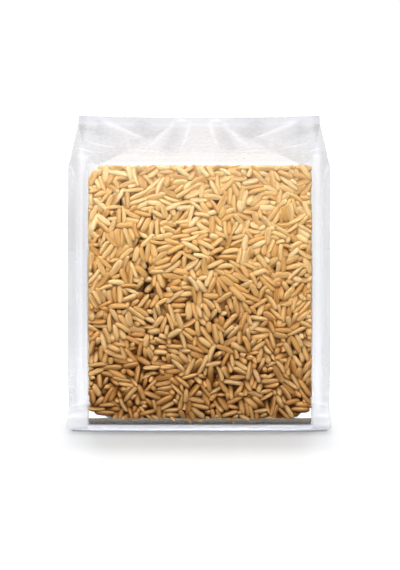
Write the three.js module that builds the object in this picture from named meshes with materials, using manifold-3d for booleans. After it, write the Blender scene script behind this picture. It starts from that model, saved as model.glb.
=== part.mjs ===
// A clear flat-bottomed bag of oat groats, standing upright, full to its shoulder and sealed along the top.
// Millimetres, +Z up, the front panel faces -Y, origin on the floor under the middle of the bag.
//
// The bag is one solid, made of the shapes its film takes: the filled block, two broad panels (front and
// back) that stick out past the block as flat corner fins, turn inwards at the shoulder and meet in the top
// seal, and between them the side gussets, which bulge below the shoulder and are tucked in above it.

import * as THREE from "three";
import { mergeVertices } from "three/addons/utils/BufferGeometryUtils.js";
import Module from "manifold-3d";

const wasm = await Module();
wasm.setup();

// Driving dimensions
const WIDTH = 125; // over the corner fins
const DEPTH = 78; // between the planes of the front and back fins
const HEIGHT = 154; // floor to the top seal's edge
const FIN = 9.5; // width of a corner fin
const SHOULDER = 131.5; // height where the panels turn inwards
const SEAL = 4.5; // height of the top seal
const FILM = 0.8; // a sealed double film, thickened so that it can be a solid

// How the filled film swells and bends
const PANEL_BULGE = 2.2; // front and back, at the middle
const BULGE_FOOT = 2; // height where a panel starts to swell
const BULGE_TOP = 137.5; // height where its swell would run out, a little above the shoulder
const GUSSET_BULGE = 3.0; // sides, beside the gusset's centre fold
const GUSSET_FOLD = 1.3; // depth of the gusset's vertical centre fold
const GUSSET_FOLD_WIDTH = 4; // how far that fold spreads to each side
const SHOULDER_BEND = 1.4; // softness of the shoulder's bend
const SEAL_DIP = 1.3; // how far the top edge sags at its middle
const FIN_SWEEP = 1.4; // how far a fin's free edge leans back
// A fin's edge waves in and out: one long wave and one short one, the left fin out of step with the right
const FIN_LONG_WAVE = { height: 0.45, length: 94, lag: 1.1 };
const FIN_SHORT_WAVE = { height: 0.27, length: 40, lag: -2 };
const BOTTOM_ROUND = 4.5; // radius under the filled block
const SHOULDER_TAPER = 1.5; // how much narrower the panel is above the shoulder, on each side
const TAPER_START = 3; // how far below the shoulder that begins
const TAPER_SOFTNESS = 2.2;
const FOOT_FLARE = 0.9; // how far the fins spread at the floor
const FOOT_FLARE_HEIGHT = 5; // over this height
const FOOT_WAIST = 0.5; // how far they draw in above that
const FOOT_WAIST_AT = 13; // at this height
const FOOT_WAIST_HEIGHT = 7; // and this far up and down from it
const FOOT_CORNER = 2.6; // radius of the fins' lower corners

// The pleat in the middle of each slope, a raised trapezium, and the soft hollows beside it
const PLEAT_RISE = 1.3;
const PLEAT_HALF_TOP = 4.6;
const PLEAT_HALF_FOOT = 10.6;
const PLEAT_EDGE = 1.1;
const SLOPE_SAG = 1.8;

// Worked out from them
const HALF_BLOCK = WIDTH / 2 - FIN;
const HALF_DEPTH = DEPTH / 2;
const RIDGE = HEIGHT - SEAL;
const SLOPE_RUN = HALF_DEPTH - 0.75 * FILM; // so that the two panels bite into each other in the seal
const SLOPE_LENGTH = Math.hypot(SLOPE_RUN, RIDGE - SHOULDER);
const COS_SLOPE = SLOPE_RUN / SLOPE_LENGTH;
const SIN_SLOPE = (RIDGE - SHOULDER) / SLOPE_LENGTH;
const TUCK = HALF_DEPTH; // a gusset is as deep as half its width
const UP_TO_RIDGE = SHOULDER + SLOPE_LENGTH; // lengths measured up along a panel's film
const UP_TO_TOP = UP_TO_RIDGE + SEAL;

// How finely the panels and the block are divided: close levels at the foot and round the shoulder
const COLUMNS = 26;
const GUSSET_COLUMNS = 10;
const CROWDING = 0.5; // crowds the columns at the pleat and the fins
const ABOVE_FOOT = 14;
const BELOW_SHOULDER = 116;
const PAST_SHOULDER = SHOULDER + 4;
const LEVELS = [
  ...stretch(0, BOTTOM_ROUND, 4),
  ...stretch(BOTTOM_ROUND, ABOVE_FOOT, 2),
  ...stretch(ABOVE_FOOT, BELOW_SHOULDER, 7),
  ...stretch(BELOW_SHOULDER, PAST_SHOULDER, 7),
  ...stretch(PAST_SHOULDER, UP_TO_RIDGE, 7),
  ...stretch(UP_TO_RIDGE, UP_TO_TOP, 2),
  UP_TO_TOP,
];

function stretch(from, to, steps) {
  return Array.from({ length: steps }, (_, i) => from + ((to - from) * i) / steps);
}

function clamp01(x) {
  return Math.min(1, Math.max(0, x));
}

function bell(x) {
  return Math.exp(-x * x);
}

// A soft step from 0 to 1 round x = 0.
function step(x, softness) {
  return 0.5 + 0.5 * Math.tanh(x / softness);
}

// A ramp that is 0 before its start and rises one for one after it, round a soft corner.
function ramp(x, softness) {
  return softness * Math.log1p(Math.exp(x / softness));
}

// The panel's profile, seen from the side: how far in and how high the film is, `up` along its length.
function profile(up) {
  const turned = ramp(up - SHOULDER, SHOULDER_BEND) - ramp(up - UP_TO_RIDGE, SHOULDER_BEND / 2);
  return { inward: COS_SLOPE * turned, height: up - (1 - SIN_SLOPE) * turned };
}

// 0 at the shoulder, 1 at the ridge
function alongSlope(up) {
  return clamp01((up - SHOULDER) / SLOPE_LENGTH);
}

// Half the panel's width: it flares at the foot, draws in above it and narrows over the shoulder.
function halfWidth(up) {
  const corner = up < FOOT_CORNER ? FOOT_CORNER - Math.sqrt(FOOT_CORNER ** 2 - (FOOT_CORNER - up) ** 2) : 0;
  const flare = FOOT_FLARE * bell(up / FOOT_FLARE_HEIGHT);
  const waist = FOOT_WAIST * bell((up - FOOT_WAIST_AT) / FOOT_WAIST_HEIGHT);
  const foot = flare - waist;
  const taper = SHOULDER_TAPER * step(up - SHOULDER + TAPER_START, TAPER_SOFTNESS);
  return WIDTH / 2 + foot - corner - taper;
}

// How far the contents push a panel out between its fins: a full, blunt cushion shape.
function panelBulge(x, up) {
  const across = clamp01(1 - (x / HALF_BLOCK) ** 2) ** 0.8;
  const upwards = Math.sin(Math.PI * clamp01((up - BULGE_FOOT) / (BULGE_TOP - BULGE_FOOT))) ** 0.6;
  return PANEL_BULGE * across * upwards;
}

// The relief on the slope: the sag of the loose film and the raised pleat in its middle.
function slopeRelief(x, up) {
  const t = alongSlope(up);
  const half = PLEAT_HALF_FOOT + (PLEAT_HALF_TOP - PLEAT_HALF_FOOT) * t;
  const pleat = step(half - Math.abs(x), PLEAT_EDGE);
  const sag = clamp01(1 - (x / HALF_BLOCK) ** 4);
  return Math.sin(Math.PI * t) * (PLEAT_RISE * pleat - SLOPE_SAG * sag);
}

function finWave({ height, length, lag }, side, up) {
  return height * Math.sin((2 * Math.PI * up) / length + lag * side);
}

// How far a fin leans back and waves.
function finOffset(x, up) {
  const out = clamp01((Math.abs(x) - HALF_BLOCK) / FIN);
  const side = Math.sign(x);
  const waves = finWave(FIN_LONG_WAVE, side, up) + finWave(FIN_SHORT_WAVE, side, up);
  return (FIN_SWEEP * out ** 2 + waves * out) * (1 - alongSlope(up));
}

// The outer face of the front panel.
function panelPoint(x, up) {
  const { inward, height } = profile(up);
  const steep = 1 - alongSlope(up);
  const relief = slopeRelief(x, up);
  const dip = SEAL_DIP * clamp01((up - SHOULDER) / (UP_TO_TOP - SHOULDER)) ** 2 * (1 - (2 * x / WIDTH) ** 2);
  const out = panelBulge(x, up) * steep + relief * SIN_SLOPE - finOffset(x, up);
  return new THREE.Vector3(x, inward - HALF_DEPTH - out, height + relief * COS_SLOPE - dip);
}

// Where a column lies between -1 and 1, once the columns are crowded.
function crowded(u) {
  return u - (CROWDING * Math.sin(2 * Math.PI * u)) / (2 * Math.PI);
}

// The front panel's film as a thin sheet with its fins.
function panelGeometry() {
  const sheet = new THREE.BoxGeometry(2, 1, 1, COLUMNS, 1, LEVELS.length - 1);
  return reshape(sheet, (u, v, w) => {
    const up = LEVELS[Math.round((w + 0.5) * (LEVELS.length - 1))];
    const point = panelPoint(halfWidth(up) * crowded(u), up);
    if (v < 0) return point;
    const upright = up < SHOULDER || up > UP_TO_RIDGE;
    point.y += FILM * (upright ? 1 : SIN_SLOPE);
    point.z -= FILM * (upright ? 0 : COS_SLOPE);
    return point;
  });
}

// The gusset's bulge on a side of the filled block, with the fold down its middle.
function gussetBulge(y, up) {
  const across = clamp01(1 - (y / HALF_DEPTH) ** 2);
  const upwards = Math.sin(Math.PI * clamp01(up / SHOULDER)) ** 0.5;
  return upwards * (GUSSET_BULGE * across - GUSSET_FOLD * bell(y / GUSSET_FOLD_WIDTH));
}

// The filled block and, above the shoulder, the room between the slopes, which the tucked gussets close
// with a flat triangle at each end.
function blockGeometry() {
  const levels = LEVELS.filter((up) => up <= UP_TO_RIDGE);
  const block = new THREE.BoxGeometry(2, 2, 1, COLUMNS, GUSSET_COLUMNS, levels.length - 1);
  return reshape(block, (u, v, w) => {
    const up = levels[Math.round((w + 0.5) * (levels.length - 1))];
    const under = clamp01(1 - up / BOTTOM_ROUND);
    const round = BOTTOM_ROUND * (1 - Math.sqrt(1 - under ** 2));
    const half = HALF_BLOCK - round - TUCK * alongSlope(up);
    const x = half * crowded(u);
    const wall = panelPoint(x, up);
    const depth = -wall.y - FILM / 2 - round;
    const side = Math.abs(u) === 1 ? Math.sign(u) * gussetBulge(v * HALF_DEPTH, up) : 0;
    const lift = up > SHOULDER ? FILM / 2 : 0;
    return new THREE.Vector3(x + side, v * depth, wall.z - lift);
  });
}

// Moves every vertex of a geometry by a function of its place, and keeps positions alone.
function reshape(geometry, place) {
  geometry.deleteAttribute("normal");
  geometry.deleteAttribute("uv");
  const at = geometry.getAttribute("position");
  for (let i = 0; i < at.count; i++) {
    const { x, y, z } = place(at.getX(i), at.getY(i), at.getZ(i));
    at.setXYZ(i, x, y, z);
  }
  return geometry;
}

function toSolid(geometry) {
  const merged = mergeVertices(geometry, 1e-4);
  return new wasm.Manifold(
    new wasm.Mesh({
      numProp: 3,
      vertProperties: merged.getAttribute("position").array,
      triVerts: new Uint32Array(merged.index.array),
    }),
  );
}

function toGeometry(solid) {
  const { vertProperties, triVerts } = solid.getMesh();
  const geometry = new THREE.BufferGeometry();
  geometry.setAttribute("position", new THREE.BufferAttribute(vertProperties, 3));
  geometry.setIndex(new THREE.BufferAttribute(triVerts, 1));
  geometry.computeVertexNormals();
  return geometry;
}

function bag() {
  const front = toSolid(panelGeometry());
  const back = front.rotate([0, 0, 180]);
  const block = toSolid(blockGeometry());
  const bodies = block.add(front).add(back).decompose(); // the bag, and pockets sealed inside it
  const whole = bodies.reduce((a, b) => (a.volume() > b.volume() ? a : b));
  const oats = new THREE.MeshStandardMaterial({ color: 0xc99a5f, roughness: 0.35, metalness: 0 });
  const mesh = new THREE.Mesh(toGeometry(whole), oats);
  mesh.name = "bag";
  return mesh;
}

const part = new THREE.Group();
part.add(bag());

export default part;
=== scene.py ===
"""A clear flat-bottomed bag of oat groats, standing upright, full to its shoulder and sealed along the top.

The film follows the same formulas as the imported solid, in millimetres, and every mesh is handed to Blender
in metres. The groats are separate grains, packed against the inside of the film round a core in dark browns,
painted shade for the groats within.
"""

import math

import bpy
import numpy as np
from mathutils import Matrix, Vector
from mathutils.kdtree import KDTree


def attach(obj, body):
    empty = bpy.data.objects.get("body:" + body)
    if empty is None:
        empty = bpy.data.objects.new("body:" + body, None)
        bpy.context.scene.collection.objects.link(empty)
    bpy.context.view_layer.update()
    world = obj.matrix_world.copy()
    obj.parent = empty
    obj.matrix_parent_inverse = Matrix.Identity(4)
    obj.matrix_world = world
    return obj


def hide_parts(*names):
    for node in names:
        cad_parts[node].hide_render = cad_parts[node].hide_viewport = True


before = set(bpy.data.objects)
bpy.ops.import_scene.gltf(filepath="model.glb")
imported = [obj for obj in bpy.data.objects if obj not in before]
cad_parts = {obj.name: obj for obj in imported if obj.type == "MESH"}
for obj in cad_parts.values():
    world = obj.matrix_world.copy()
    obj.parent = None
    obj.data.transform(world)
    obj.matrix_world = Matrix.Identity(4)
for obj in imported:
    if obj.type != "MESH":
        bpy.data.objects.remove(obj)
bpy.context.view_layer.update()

MM = 0.001

# ======== The bag's driving sizes, in millimetres
WIDTH = 125.0
DEPTH = 78.0
HEIGHT = 154.0
FIN = 9.5
SHOULDER = 131.5
SEAL = 4.5
FILM = 0.8

PANEL_BULGE = 2.2
BULGE_FOOT = 2.0
BULGE_TOP = 137.5
GUSSET_BULGE = 3.0
GUSSET_FOLD = 1.3
GUSSET_FOLD_WIDTH = 4.0
SHOULDER_BEND = 1.4
SEAL_DIP = 1.3
FIN_SWEEP = 1.4
FIN_LONG_WAVE = {"height": 0.45, "length": 94.0, "lag": 1.1}
FIN_SHORT_WAVE = {"height": 0.27, "length": 40.0, "lag": -2.0}
BOTTOM_ROUND = 4.5
SHOULDER_TAPER = 1.5
TAPER_START = 3.0
TAPER_SOFTNESS = 2.2
FOOT_FLARE = 0.9
FOOT_FLARE_HEIGHT = 5.0
FOOT_WAIST = 0.5
FOOT_WAIST_AT = 13.0
FOOT_WAIST_HEIGHT = 7.0
FOOT_CORNER = 2.6
PLEAT_RISE = 1.3
PLEAT_HALF_TOP = 4.6
PLEAT_HALF_FOOT = 10.6
PLEAT_EDGE = 1.1
SLOPE_SAG = 1.8

HALF_BLOCK = WIDTH / 2 - FIN
HALF_DEPTH = DEPTH / 2
RIGHT_REACH = 1.0  # how much further out the block is at the right than at the left
RIDGE = HEIGHT - SEAL
SLOPE_RUN = HALF_DEPTH - 0.75 * FILM
SLOPE_LENGTH = math.hypot(SLOPE_RUN, RIDGE - SHOULDER)
COS_SLOPE = SLOPE_RUN / SLOPE_LENGTH
SIN_SLOPE = (RIDGE - SHOULDER) / SLOPE_LENGTH
UP_TO_RIDGE = SHOULDER + SLOPE_LENGTH
UP_TO_TOP = UP_TO_RIDGE + SEAL


# ======== Small curves
def clamp01(x):
    return np.clip(x, 0.0, 1.0)


def bell(x):
    return np.exp(-x * x)


def step(x, softness):
    """A soft step from 0 to 1 round x = 0."""
    return 0.5 + 0.5 * np.tanh(x / softness)


def ramp(x, softness):
    """0 before x = 0 and rising one for one after it, round a soft corner."""
    return softness * np.logaddexp(0.0, x / softness)


def stretch(start, end, pitch):
    """Evenly spaced values from start up to, but not including, end."""
    return np.linspace(start, end, max(1, round((end - start) / pitch)), endpoint=False)


def stretches(*rows):
    """Values along several stretches, each a start, an end and a pitch, and the last end itself."""
    return np.concatenate([*(stretch(*row) for row in rows), [rows[-1][1]]])


def normalised(vectors):
    return vectors / np.linalg.norm(vectors, axis=1)[:, None]


def blend(low, high, share):
    return low + (high - low) * share


# ======== The film's shape. A place on a panel is (x, up): across, and up along the film from the floor.
def along_slope(up):
    return clamp01((up - SHOULDER) / SLOPE_LENGTH)


def half_width(up):
    under = np.clip(FOOT_CORNER - up, 0.0, FOOT_CORNER)
    corner = FOOT_CORNER - np.sqrt(FOOT_CORNER**2 - under**2)
    flare = FOOT_FLARE * bell(up / FOOT_FLARE_HEIGHT)
    waist = FOOT_WAIST * bell((up - FOOT_WAIST_AT) / FOOT_WAIST_HEIGHT)
    taper = SHOULDER_TAPER * step(up - SHOULDER + TAPER_START, TAPER_SOFTNESS)
    return WIDTH / 2 + flare - waist - corner - taper


def panel_bulge(x, up):
    across = clamp01(1 - (x / HALF_BLOCK) ** 2) ** 0.8
    upwards = np.sin(math.pi * clamp01((up - BULGE_FOOT) / (BULGE_TOP - BULGE_FOOT))) ** 0.6
    return PANEL_BULGE * across * upwards


def slope_relief(x, up):
    t = along_slope(up)
    half = PLEAT_HALF_FOOT + (PLEAT_HALF_TOP - PLEAT_HALF_FOOT) * t
    pleat = step(half - np.abs(x), PLEAT_EDGE)
    sag = clamp01(1 - (x / HALF_BLOCK) ** 4)
    return np.sin(math.pi * t) * (PLEAT_RISE * pleat - SLOPE_SAG * sag)


def fin_wave(wave, side, up):
    return wave["height"] * np.sin(2 * math.pi * up / wave["length"] + wave["lag"] * side)


def fin_offset(x, up):
    out = clamp01((np.abs(x) - HALF_BLOCK) / FIN)
    side = np.sign(x)
    waves = fin_wave(FIN_LONG_WAVE, side, up) + fin_wave(FIN_SHORT_WAVE, side, up)
    return (FIN_SWEEP * out**2 + waves * out) * (1 - along_slope(up))


def panel_point(x, up, relief_share=1.0, inset=0.0):
    """Places on the front panel's outer face, `inset` millimetres behind it."""
    turned = ramp(up - SHOULDER, SHOULDER_BEND) - ramp(up - UP_TO_RIDGE, SHOULDER_BEND / 2)
    turning = step(up - SHOULDER, 1.4 * SHOULDER_BEND) - step(up - UP_TO_RIDGE, 1.4 * SHOULDER_BEND)
    inward = COS_SLOPE * turned
    height = up - (1 - SIN_SLOPE) * turned
    relief = slope_relief(x, up) * relief_share
    reach = clamp01((up - SHOULDER) / (UP_TO_TOP - SHOULDER))
    dip = SEAL_DIP * reach**2 * (1 - (2 * x / WIDTH) ** 2)
    out = panel_bulge(x, up) * (1 - along_slope(up)) + relief * SIN_SLOPE - fin_offset(x, up)
    out = out - inset * (1 - turning * (1 - SIN_SLOPE))
    lift = relief * COS_SLOPE - dip - inset * turning * COS_SLOPE
    return np.stack([x + 0 * up, inward - HALF_DEPTH - out, height + lift], axis=-1)


def half_turn(points):
    """The back panel is the front one turned half round the vertical axis."""
    return points * np.array([-1.0, -1.0, 1.0])


def gusset_bulge(y, up):
    across = clamp01(1 - (y / HALF_DEPTH) ** 2)
    upwards = np.sin(math.pi * clamp01(up / SHOULDER)) ** 0.5
    return upwards * (GUSSET_BULGE * across - GUSSET_FOLD * bell(y / GUSSET_FOLD_WIDTH))


# ======== Folds: each is a soft ridge along a bent line in (x, up), and the film is paler or greyer along it, partly the whitening of creased film and partly painted highlight and painted shade
def fold_fields(folds, x, up):
    """The rise in millimetres and the change of tone, partly whitening and partly painted highlight and
    shade, that the folds give at each place.
    """
    rise = np.zeros(np.broadcast(x, up).shape)
    tone = np.zeros_like(rise)
    share = np.linspace(0.0, 1.0, FOLD_STEPS + 1)[:, None]
    for start, bend, end, width, fold_rise, fold_whitening_and_painted_light in folds:
        line = (1 - share) ** 2 * np.array(start) + 2 * share * (1 - share) * np.array(bend)
        line = line + share**2 * np.array(end)
        nearest = np.full(rise.shape, 1e9)
        along = np.zeros_like(rise)
        for a, b, s in zip(line[:-1], line[1:], share[:-1, 0]):
            edge = b - a
            t = clamp01(((x - a[0]) * edge[0] + (up - a[1]) * edge[1]) / (edge @ edge))
            far = (x - a[0] - t * edge[0]) ** 2 + (up - a[1] - t * edge[1]) ** 2
            closer = far < nearest
            nearest = np.where(closer, far, nearest)
            along = np.where(closer, s + t / FOLD_STEPS, along)
        fade = np.sin(math.pi * np.clip(along, 0.02, 0.98)) ** 0.6
        shape = np.exp(-nearest / (width * (0.55 + 0.45 * fade)) ** 2) * fade
        rise += fold_rise * shape
        tone += fold_whitening_and_painted_light * shape
    return rise, tone


def mirrored(folds, shift):
    """The same folds on the other side, each a little out of place so that the two sides differ."""
    other = []
    for i, (start, bend, end, width, rise, tone) in enumerate(folds):
        nudge = shift * math.sin(2.3 * i + 1)
        points = [(-px + nudge, py + 0.6 * nudge) for px, py in (start, bend, end)]
        other.append((*points, width * (1 + 0.1 * nudge), rise, tone))
    return other


# start, bend, end, half width, rise, tone (whitening of the crease, with painted highlight above 0 and
# painted shade below)
LEFT_GABLE_FOLDS = [
    ((-4.6, 177.5), (-6.2, 160.0), (-9.4, 138.0), 0.9, 0.45, 0.55),  # the pleat's edge
    ((-11.0, 176.5), (-13.0, 160.0), (-16.5, 141.0), 4.0, -0.35, -0.42),  # hollow beside the pleat
    ((-12.6, 177.5), (-17.0, 167.0), (-25.5, 144.0), 1.7, 0.5, 0.4),  # soft ridge from the seal
    ((-17.0, 150.0), (-15.5, 145.0), (-12.5, 141.0), 2.2, -0.2, -0.25),
    ((-33.0, 177.0), (-26.0, 171.0), (-24.0, 158.0), 5.5, -0.3, -0.32),
    ((-52.0, 178.0), (-40.0, 172.0), (-25.5, 156.0), 1.9, 0.55, 0.55),  # long streak from the corner
    ((-33.0, 163.0), (-29.0, 160.5), (-26.0, 159.5), 0.7, 0.2, 0.35),
    ((-33.5, 159.5), (-30.0, 157.0), (-28.0, 156.5), 0.6, 0.2, 0.3),
    ((-35.8, 163.0), (-34.0, 150.0), (-33.6, 137.5), 1.2, 0.35, 0.22),
    ((-60.0, 171.0), (-50.0, 166.0), (-39.0, 154.0), 4.2, -0.35, -0.3),
    ((-56.5, 152.5), (-49.0, 144.5), (-38.5, 144.5), 1.4, 0.4, 0.45),  # swoosh above the shoulder
    ((-57.0, 148.5), (-50.0, 147.5), (-42.0, 149.0), 1.0, -0.15, -0.15),
    ((-60.0, 141.5), (-56.5, 140.0), (-51.5, 135.5), 1.0, 0.35, 0.6),  # highlight at the corner
    ((-34.5, 142.0), (-26.0, 140.5), (-15.0, 136.5), 0.8, 0.3, 0.5),  # just above the crease
    ((-60.5, 134.5), (-45.0, 132.6), (-30.0, 134.0), 0.9, -0.25, -0.3),  # the crease itself
    ((-30.0, 134.6), (-22.0, 131.8), (0.0, 133.4), 0.7, -0.25, -0.3),
    ((-11.8, 176.0), (-9.0, 178.2), (-5.6, 176.2), 0.7, 0.25, 0.6),
]
LEFT_FIN_FOLDS = [
    ((-57.4, 122.0), (-57.0, 60.0), (-57.6, 12.0), 0.9, 0.25, 0.12),  # fold down the fin
    ((-61.7, 128.5), (-60.4, 124.0), (-58.4, 119.0), 0.8, 0.3, 0.5),
    ((-60.0, 118.0), (-60.5, 95.0), (-60.5, 70.0), 2.0, -0.15, -0.22),
    ((-62.8, 11.2), (-58.0, 12.6), (-53.6, 13.6), 0.6, 0.3, 0.35),  # creases at the foot
    ((-62.8, 8.6), (-58.0, 9.6), (-53.6, 9.4), 0.8, -0.2, -0.2),
    ((-63.0, 6.4), (-58.0, 7.4), (-53.6, 6.6), 0.6, 0.3, 0.35),
    ((-62.8, 3.9), (-58.0, 4.6), (-53.6, 4.2), 0.7, -0.2, -0.15),
]
FOLD_STEPS = 24  # pieces that a fold's bent line is measured in
PANEL_FOLDS = (
    LEFT_GABLE_FOLDS
    + mirrored(LEFT_GABLE_FOLDS, 0.9)
    + LEFT_FIN_FOLDS
    + mirrored(LEFT_FIN_FOLDS, 0.35)
)

# Where the film is clear and where it is milky: the welded fins and the hem let least through
CLEAR_MILK = 0.002
STRIP_MILK = 0.02
SLOPE_MILK = 0.50
FIN_MILK = 0.44
INNER_FIN_MILK = 0.50
FOOT_MILK = 0.52
HEM_MILK = 0.9
TOP_PAINTED_WASH = 0.07  # the clear panel is a little milkier towards the shoulder: a painted wash of light over the top of the groats
PAINTED_WASH_START = 88.0
PAINTED_WASH_RISE = 42.0
FIN_LIFT_FADE = 40.0  # over what height the fins' tones change
INNER_LIFT_TOP = 60.0
OUTER_LIFT_TOP = 70.0
DIP_AT = 90.0
DIP_REACH = 26.0
FIN_CREASE = 4.4  # how far outside the block a fin's thin, greyer edge begins
CREASE_RISE = 2.4  # how far above the shoulder the clear film turns milky
BACK_MILK_SHARE = 0.55  # the back panel is that much less milky than the front one
FOOT_BAND = 11.0  # height of the creased, thicker film at the foot of a fin
HEM = 3.0  # height of the welded hem along the floor
HEM_BEAD = 0.6  # height of the bead along the hem
CONTENTS_TOP = 126.8

# Tones, from 0, lilac grey, to 1, white
PANEL_TONE = 0.9
INNER_FIN_TONE = 0.79
INNER_FIN_PAINTED_LIGHT = 0.13  # painted light: how much paler the inner half of a fin gets towards its foot
OUTER_FIN_PAINTED_LIGHT = 0.23  # painted light: how much paler its outer half does
LEFT_FIN_PAINTED_SHADE = 0.19  # painted shade: how much greyer the left fin is round DIP_AT
FOOT_TONE = 0.84
SLOPE_TONE = 0.62
# painted shade: the tone of the film's outer band beside the slope, darker against the light from above
SLOPE_FIN_PAINTED_SHADE_TONE = 0.12
SEAL_PAINTED_LIGHT = 0.33  # painted light: how much paler the ends of the seal are than the fins beside the slope


def panel_fields(x, up):
    """How milky a panel's film is and its tone, from 0, lilac grey, to 1, white."""
    _, folds = fold_fields(PANEL_FOLDS, x, up)
    out = np.abs(x) - HALF_BLOCK
    fin = step(out - 0.1, 0.25)
    outer_fin = step(out - FIN_CREASE, 1.1)
    foot = step(FOOT_BAND - up, 1.2)
    slope = step(up - SHOULDER - CREASE_RISE, 1.0)
    strip = step(up - CONTENTS_TOP - 0.4, 0.4)
    seal = step(up - UP_TO_RIDGE, 0.8)
    hem = step(HEM - up, 0.25)

    fin_milk = blend(blend(INNER_FIN_MILK, FIN_MILK, outer_fin), FOOT_MILK, foot)
    # painted light: a white wash over the upper groats
    painted_wash = TOP_PAINTED_WASH * clamp01((up - PAINTED_WASH_START) / PAINTED_WASH_RISE) ** 1.5
    milk = blend(CLEAR_MILK, STRIP_MILK, strip)
    milk = blend(milk, fin_milk, fin)
    milk = blend(milk, SLOPE_MILK, slope) + painted_wash * (1 - fin) * (1 - slope)
    milk = blend(milk, HEM_MILK - 0.4 * fin, hem)

    # painted shade on the left fin round DIP_AT, and painted light on both halves of the fins towards their
    # foot
    left_painted_shade = LEFT_FIN_PAINTED_SHADE * bell((up - DIP_AT) / DIP_REACH) * (x < 0)
    inner_painted_light = INNER_FIN_PAINTED_LIGHT * clamp01((INNER_LIFT_TOP - up) / FIN_LIFT_FADE)
    inner_tone = INNER_FIN_TONE + inner_painted_light - left_painted_shade
    outer_tone = OUTER_FIN_PAINTED_LIGHT * clamp01((OUTER_LIFT_TOP - up) / FIN_LIFT_FADE)
    fin_tone = blend(blend(inner_tone, outer_tone, outer_fin), FOOT_TONE, foot)
    # painted shade on the slope's outer band, and painted light at the ends of the seal
    slope_tone = blend(SLOPE_TONE, SLOPE_FIN_PAINTED_SHADE_TONE + SEAL_PAINTED_LIGHT * seal, outer_fin)
    tone = blend(blend(PANEL_TONE, fin_tone, fin), slope_tone, slope)
    tone = blend(tone, PANEL_TONE, hem)
    # painted highlight and shade along the folds, with the whitening of creased film, weaker on the slopes
    folds = folds * (1 - 0.4 * slope)
    return clamp01(milk * (1 + 0.4 * np.abs(folds))), clamp01(tone + folds)


# ======== Meshes
def reach_right(points):
    """Widens the block's right half a little, at the cost of the right fins."""
    x = points[:, 0]
    inside = clamp01(x / HALF_BLOCK)
    outside = clamp01((WIDTH / 2 + FOOT_FLARE - x) / (FIN + FOOT_FLARE))
    moved = np.array(points, float)
    moved[:, 0] += RIGHT_REACH * inside * outside
    return moved


def add_mesh(name, points, faces, fields, material):
    """A smooth mesh from points in millimetres, faces of 3 or 4 corners and fields of one value per point."""
    points = reach_right(np.asarray(points))
    mesh = bpy.data.meshes.new(name)
    faces = [np.asarray(f, np.int32) for f in faces if len(f)]
    corners = np.concatenate([f.ravel() for f in faces])
    sizes = np.concatenate([np.full(len(f), f.shape[1], np.int32) for f in faces])
    starts = np.concatenate([[0], np.cumsum(sizes)[:-1]]).astype(np.int32)
    mesh.vertices.add(len(points))
    mesh.vertices.foreach_set("co", (points * MM).astype(np.float32).ravel())
    mesh.loops.add(len(corners))
    mesh.loops.foreach_set("vertex_index", corners)
    mesh.polygons.add(len(sizes))
    mesh.polygons.foreach_set("loop_start", starts)
    mesh.polygons.foreach_set("use_smooth", np.ones(len(sizes), bool))
    for key, values in (fields or {}).items():
        values = np.asarray(values, np.float32)
        kind, item = ("FLOAT_VECTOR", "vector") if values.ndim == 2 else ("FLOAT", "value")
        mesh.attributes.new(key, kind, "POINT").data.foreach_set(item, values.ravel())
    mesh.update(calc_edges=True)
    mesh.validate()
    mesh.materials.append(material)
    piece = bpy.data.objects.new(name, mesh)
    bpy.context.scene.collection.objects.link(piece)
    return piece


def grid_faces(rows, columns):
    at = np.arange(rows * columns).reshape(rows, columns)
    quads = np.stack([at[:-1, :-1], at[:-1, 1:], at[1:, 1:], at[1:, :-1]], axis=-1)
    return quads.reshape(-1, 4)


def add_sheet(name, points, milk, tone, material):
    rows, columns = points.shape[:2]
    fields = {"milk": milk.ravel(), "tone": tone.ravel()}
    return add_mesh(name, points.reshape(-1, 3), [grid_faces(rows, columns)], fields, material)


def ring_faces(rows, sides):
    """The faces between rings of points, and the index of each point by its ring and its place in it."""
    at = np.arange(rows * sides).reshape(rows, sides)
    nxt = np.roll(at, -1, axis=1)
    quads = np.stack([at[:-1], nxt[:-1], nxt[1:], at[1:]], axis=-1).reshape(-1, 4)
    return quads, at, nxt


def add_tube(name, path, radii, material, sides=10, tone=1.0, milk=1.0):
    """A closed bead along an open path, flattened by its two radii (along and across the bag's vertical)."""
    path = np.asarray(path, float)
    ahead = normalised(np.gradient(path, axis=0))
    side = normalised(np.cross(ahead, [0.0, 1.0, 0.0]))
    out = np.cross(side, ahead)
    turn = 2 * math.pi * np.arange(sides) / sides
    ring = radii[0] * np.cos(turn)[None, :, None] * side[:, None]
    ring = ring + radii[1] * np.sin(turn)[None, :, None] * out[:, None]
    count = len(path)
    points = np.vstack([(path[:, None] + ring).reshape(-1, 3), path[0], path[-1]])
    quads, at, nxt = ring_faces(count, sides)
    start = np.full(sides, count * sides)
    first = np.stack([start, nxt[0], at[0]], axis=-1)
    last = np.stack([start + 1, at[-1], nxt[-1]], axis=-1)
    along = np.broadcast_to(tone, count)
    tones = np.concatenate([np.repeat(along, sides), along[[0, -1]]])
    fields = {"milk": np.full(len(points), milk), "tone": tones}
    return add_mesh(name, points, [quads, np.vstack([first, last])], fields, material)


# ======== Materials
def new_material(name):
    material = bpy.data.materials.new(name)
    material.use_nodes = True
    tree = material.node_tree
    tree.nodes.clear()
    return material, tree


def add_node(tree, kind, inputs=None, **properties):
    """A node with its properties and its input sockets set; an input that is a socket is linked."""
    node = tree.nodes.new(kind)
    for key, value in properties.items():
        setattr(node, key, value)
    for key, value in (inputs or {}).items():
        if isinstance(value, bpy.types.NodeSocket):
            tree.links.new(value, node.inputs[key])
        else:
            node.inputs[key].default_value = value
    return node


def read_field(tree, name, output="Fac"):
    return add_node(tree, "ShaderNodeAttribute", attribute_name=name).outputs[output]


def object_place(tree):
    return add_node(tree, "ShaderNodeTexCoord").outputs["Object"]


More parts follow.
